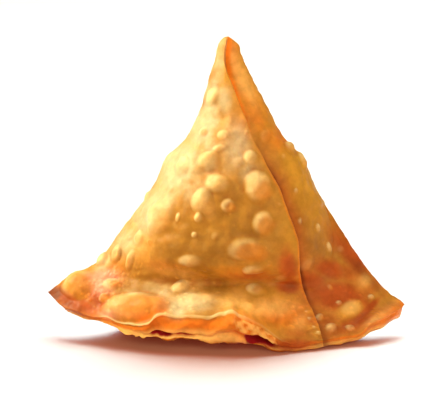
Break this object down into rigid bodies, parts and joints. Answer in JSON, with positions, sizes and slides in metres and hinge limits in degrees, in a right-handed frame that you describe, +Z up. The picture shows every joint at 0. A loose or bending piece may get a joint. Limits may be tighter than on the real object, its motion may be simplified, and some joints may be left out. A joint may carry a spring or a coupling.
{
  "type": "samosa",
  "caption": "Fried pastry cone with a lapped front seam, blistered crust and a pinched, flared hem; stands on its pressed base.",
  "frame": {"origin": "under the middle of the part, on the surface it stands on", "axes": "+Z up to the apex; -Y is the lapped front; +X is towards the right corner as seen from the front"},
  "size_m": [0.1072, 0.055, 0.089],
  "materials": {
    "fried_dough": "satin fried dough, golden to orange-brown, paler on the blisters"
  },
  "bodies": {
    "root": {"samosa": "fried_dough"}
  },
  "joints": []
}
